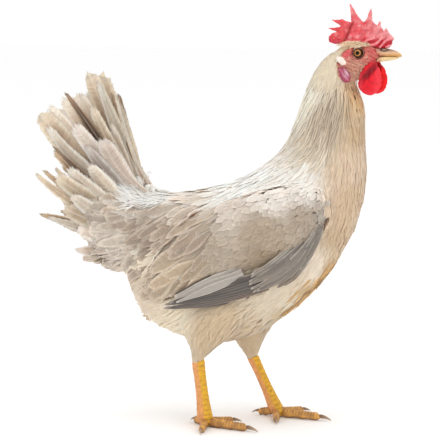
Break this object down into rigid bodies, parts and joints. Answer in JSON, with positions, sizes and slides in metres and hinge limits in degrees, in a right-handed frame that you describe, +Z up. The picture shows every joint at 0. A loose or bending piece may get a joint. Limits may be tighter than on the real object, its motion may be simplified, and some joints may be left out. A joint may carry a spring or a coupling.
{
  "type": "hen",
  "caption": "Life-size still model of a standing cream-coloured laying hen, with an upright comb, wattles, raised fanned tail and yellow legs in mid stride.",
  "frame": {"origin": "on the floor, under the middle of the hen's box", "axes": "+X towards the bill, +Y towards her left side, +Z up"},
  "size_m": [0.3832, 0.1508, 0.4416],
  "materials": {
    "plumage": "soft dry feathers, cream with tan and grey centres",
    "flight_feather": "slate grey feather vanes with pale shafts and edges",
    "comb_skin": "grained moist red skin",
    "earlobe_skin": "smooth soft pale skin",
    "bill_horn": "satin horn",
    "leg_skin": "waxy yellow scutes",
    "claw_horn": "dull horn",
    "eye": "wet clear cornea over an orange iris"
  },
  "bodies": {
    "root": {"trunk": "plumage", "neck": "plumage", "tail": "plumage", "wing_right": "plumage", "flight_feathers_right": "flight_feather", "thigh_right": "plumage", "shank_right": "leg_skin", "toe_hind_right": "leg_skin", "claw_hind_right": "claw_horn", "toe_inner_right": "leg_skin", "claw_inner_right": "claw_horn", "toe_middle_right": "leg_skin", "claw_middle_right": "claw_horn", "toe_outer_right": "leg_skin", "claw_outer_right": "claw_horn", "wing_left": "plumage", "flight_feathers_left": "flight_feather", "thigh_left": "plumage", "shank_left": "leg_skin", "toe_hind_left": "leg_skin", "claw_hind_left": "claw_horn", "toe_inner_left": "leg_skin", "claw_inner_left": "claw_horn", "toe_middle_left": "leg_skin", "claw_middle_left": "claw_horn", "toe_outer_left": "leg_skin", "claw_outer_left": "claw_horn", "head": "plumage", "bill_upper": "bill_horn", "bill_lower": "bill_horn", "comb": "comb_skin", "eye_right": "eye", "earlobe_right": "earlobe_skin", "wattle_right": "comb_skin", "eye_left": "eye", "earlobe_left": "earlobe_skin", "wattle_left": "comb_skin"}
  },
  "joints": []
}
